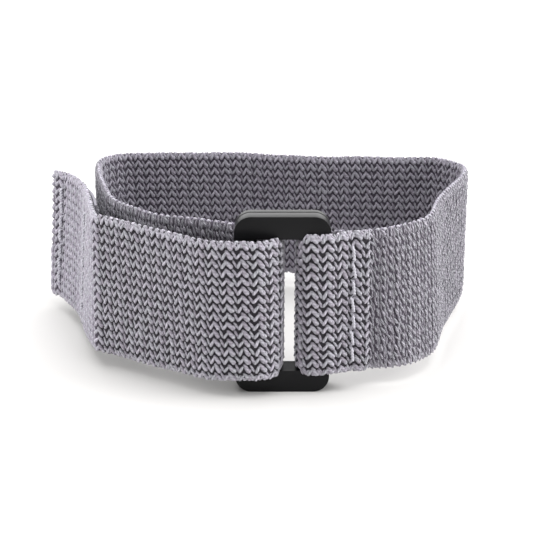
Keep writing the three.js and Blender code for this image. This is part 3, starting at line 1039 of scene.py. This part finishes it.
class STRAP_OT_seams(bpy.types.Operator):
    """Sews the flap and the hook patch: two-ply thread that dips into a hole at each stitch"""

    bl_idname = "strap.seams"
    bl_label = "Sew seams"

    def execute(self, context):
        trim = context.scene.wrist_strap_trim
        material = thread_finish("sewing_thread", trim.thread_colour)
        for name, body, along, face, crown, length in SEAMS:
            ply = self.straight_ply(length)
            plies = [
                self.sewn(ply, turn, along, face, crown, length, trim.stitch_length)
                for turn in (0.0, math.pi)
            ]
            seam = self.join(name, ply, plies)
            seam.data.materials.append(material)
            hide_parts(name)
            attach(seam, body)
        return {"FINISHED"}

    def straight_ply(self, length):
        """One ply as a closed rod along Z with many rings."""
        start_clean()
        bpy.ops.mesh.primitive_cylinder_add(vertices=7, radius=PLY_RADIUS, depth=length)
        rod = bpy.context.object
        enter("EDIT")
        choose(rod, "EDGE", lambda e: abs(ends(rod, e)[0].z - ends(rod, e)[1].z) > length / 2)
        bpy.ops.mesh.subdivide(number_cuts=int(length / PLY_STEP))
        enter("OBJECT")
        return Shape(rod)

    def sewn(self, ply, turn, along, face, crown, length, stitch):
        """The ply twisted round its partner along a line of stitches."""
        x, y, z = ply.spots.T
        count = max(1, round(length / stitch))
        phase = (z / length + 0.5) * count
        within = phase - np.floor(phase)
        dip = np.clip((np.abs(within - 0.5) * 2 - 0.6) / 0.4, 0, 1) ** 2
        number = np.floor(np.clip(phase, 0, count - 1e-6))
        sway = STITCH_SLANT * (within - 0.5) * np.where(number % 2, 1, 0.5)
        sway = sway + STITCH_WANDER * np.sin(number * 2.4)
        twist = z / TWIST_LENGTH * math.tau + turn
        side = x + PLY_OFFSET * np.cos(twist) + sway
        out = y + PLY_OFFSET * np.sin(twist) + crown - dip * STITCH_DIP
        fit = ON_KNIT_FIT if crown < ON_KNIT_BELOW else 1.0
        return lay(np.stack((along + side, face * out, z * fit), 1), knit=False)

    def join(self, name, ply, plies):
        """Both plies as one mesh with its normals outward."""
        mesh = bpy.data.meshes.new(name + "_sewn")
        spots = np.concatenate(plies)
        faces = np.split(ply.loops, np.cumsum(ply.sizes)[:-1])
        every = [(face + len(ply.spots) * i).tolist() for i in range(len(plies)) for face in faces]
        mesh.from_pydata(spots.tolist(), [], every)
        seam = in_scene(mesh.name, mesh)
        start_clean()
        seam.select_set(True)
        bpy.context.view_layer.objects.active = seam
        enter("EDIT")
        turn_faces_outward()
        enter("OBJECT")
        bpy.ops.object.shade_smooth()
        return seam


# ---- Hook patch ----

PATCH_HALF_WIDTH = 9.3 * MM
PATCH_NEAR, PATCH_FAR = 0.75 * MM, 1.12 * MM  # the tape's two faces, out from the centre line
HOOK_PITCH_ALONG = 0.92 * MM
HOOK_PITCH_UP = 0.66 * MM
HOOK_RADIUS = 0.075 * MM
HOOK_STEM = 0.3 * MM
HOOK_CROOK = 0.15 * MM
TAPE_RIB = 0.05 * MM


class STRAP_OT_hook_patch(bpy.types.Operator):
    """Makes the hook patch: a woven tape with rows of small bent hooks"""

    bl_idname = "strap.hook_patch"
    bl_label = "Make hook patch"

    def execute(self, context):
        colour = context.scene.wrist_strap_trim.hook_colour
        rng = np.random.default_rng(733)
        patch = Cloth()
        self.ground(patch)
        along = evenly(HOOK_START + 0.5 * MM, HOOK_END - 0.5 * MM, HOOK_PITCH_ALONG)
        rows = int(2 * (PATCH_HALF_WIDTH - 0.6 * MM) / HOOK_PITCH_UP)
        hook = self.hook()
        for row in range(rows + 1):
            up = (row - rows / 2) * HOOK_PITCH_UP
            patch.copies(hook, -1, along, up, PATCH_FAR - 0.02 * MM, 1, rng, 0.15)
        materials = (
            hook_finish("hook_tape_ground", colour, 0.75),
            hook_finish("hook_tape_hooks", scaled(colour, 1.25), 0.45),
        )
        piece = patch.write("hook_patch_tape", materials, HOOK_START, HOOK_END, knit=False)
        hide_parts("hook_patch")
        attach(piece, "tip")
        return {"FINISHED"}

    def ground(self, patch):
        """The tape: a grid given its thickness, with ribs pressed into it and rounded edges."""
        start_clean()
        bpy.ops.mesh.primitive_grid_add(x_subdivisions=38, y_subdivisions=60, size=1)
        tape = bpy.context.object
        tape.scale = (HOOK_LENGTH, 2 * PATCH_HALF_WIDTH, 1)
        tape.location = ((HOOK_START + HOOK_END) / 2, 0, 0)
        apply_place(tape)
        apply_modifier(tape, "SOLIDIFY", thickness=PATCH_FAR - PATCH_NEAR, offset=0)
        apply_modifier(tape, "BEVEL", width=0.08 * MM, segments=2, limit_method="ANGLE")
        ground = Shape(tape)
        x, y, z = ground.spots.T
        rib = TAPE_RIB * np.cos(y / HOOK_PITCH_UP * math.tau) * (z > 0)
        spots = np.stack((x, -(z + rib + (PATCH_NEAR + PATCH_FAR) / 2), -y), 1)
        tint = np.full(len(x), 0.5)
        patch.add(spots, ground.sizes, ground.loops, 0, tint, tint, np.stack((x, y), 1) / MM)

    def hook(self):
        """One hook: a five-sided stem drawn up and spun over into a crook."""
        start_clean()
        bpy.ops.mesh.primitive_circle_add(vertices=5, radius=HOOK_RADIUS, fill_type="NGON")
        hook = bpy.context.object
        enter("EDIT")
        select_whole_mesh()
        bpy.ops.mesh.extrude_region_move(TRANSFORM_OT_translate={"value": (0, 0, HOOK_STEM)})
        pivot = (HOOK_CROOK, 0, HOOK_STEM)
        bpy.ops.mesh.spin(steps=5, angle=math.radians(205), center=pivot, axis=(0, 1, 0))
        select_whole_mesh()
        bpy.ops.mesh.remove_doubles(threshold=0.002 * MM)
        turn_faces_outward()
        enter("OBJECT")
        return Shape(hook)


# ---- Stage ----

CAMERA_PLACE = Vector((0.000939, -0.185935, 0.07495))
CAMERA_FALL = math.radians(18.94)  # how far it looks down
CAMERA_LENS = 85.9
FLOOR_COLOUR = (0.62, 0.613, 0.605)
# Name, place, point aimed at, size and power.
SOFTBOXES = (
    ("top_softbox", (0.0, 0.02, 0.6), (0, 0, 0), 0.7, 6.0),
    ("left_softbox", (-0.5, -0.02, 0.16), (0, 0, 0.01), 0.4, 1.6),
    ("right_softbox", (0.5, -0.02, 0.16), (0, 0, 0.01), 0.4, 3.7),
    ("back_softbox", (0.0, 0.8, 0.34), (0, 0, 0.02), 0.7, 2.7),
)


class STRAP_OT_stage(bpy.types.Operator):
    """Sets the pale floor, the soft lights and the camera"""

    bl_idname = "strap.stage"
    bl_label = "Set stage"

    def execute(self, context):
        start_clean()
        bpy.ops.mesh.primitive_circle_add(vertices=96, radius=3.0, fill_type="NGON")
        floor = bpy.context.object
        floor.name = "studio_floor"
        floor.data.materials.append(floor_finish("pale_floor", FLOOR_COLOUR))
        for softbox in SOFTBOXES:
            self.light(*softbox)
        world = bpy.data.worlds.new("studio_air")
        world.use_nodes = True
        sky = world.node_tree.nodes["Background"]
        sky.inputs["Color"].default_value = (1.0, 0.995, 0.99, 1.0)
        sky.inputs["Strength"].default_value = 0.5
        context.scene.world = world
        context.scene.view_settings.view_transform = "Standard"
        turn = (math.radians(90) - CAMERA_FALL, 0, 0)
        bpy.ops.object.camera_add(location=CAMERA_PLACE, rotation=turn)
        camera = bpy.context.object
        camera.data.lens = CAMERA_LENS
        camera.data.sensor_width = 36.0
        camera.data.clip_start = 0.01
        camera.data.clip_end = 20.0
        context.scene.camera = camera
        return {"FINISHED"}

    def light(self, name, place, aim, size, power):
        bpy.ops.object.light_add(type="AREA", location=place)
        lamp = bpy.context.object
        lamp.name = name
        lamp.data.size = size
        lamp.data.energy = power
        way = Vector(aim) - Vector(place)
        lamp.rotation_euler = way.to_track_quat("-Z", "Y").to_euler()


class STRAP_PT_panel(bpy.types.Panel):
    bl_idname = "STRAP_PT_panel"
    bl_label = "Wrist strap"
    bl_space_type = "VIEW_3D"
    bl_region_type = "UI"
    bl_category = "Wrist strap"

    def draw(self, context):
        for group in (context.scene.wrist_strap_webbing, context.scene.wrist_strap_trim):
            for name in group.__annotations__:
                self.layout.prop(group, name)
        for operator in OPERATORS:
            self.layout.operator(operator.bl_idname)


OPERATORS = (STRAP_OT_webbing, STRAP_OT_ring, STRAP_OT_seams, STRAP_OT_hook_patch, STRAP_OT_stage)
CLASSES = (WristStrapWebbing, WristStrapTrim, *OPERATORS, STRAP_PT_panel)


def register():
    for kind in CLASSES:
        bpy.utils.register_class(kind)
    bpy.types.Scene.wrist_strap_webbing = bpy.props.PointerProperty(type=WristStrapWebbing)
    bpy.types.Scene.wrist_strap_trim = bpy.props.PointerProperty(type=WristStrapTrim)


def unregister():
    del bpy.types.Scene.wrist_strap_trim
    del bpy.types.Scene.wrist_strap_webbing
    for kind in reversed(CLASSES):
        bpy.utils.unregister_class(kind)


def main():
    register()
    bpy.ops.strap.webbing()
    bpy.ops.strap.ring()
    bpy.ops.strap.seams()
    bpy.ops.strap.hook_patch()
    bpy.ops.strap.stage()


if __name__ == "__main__":
    main()
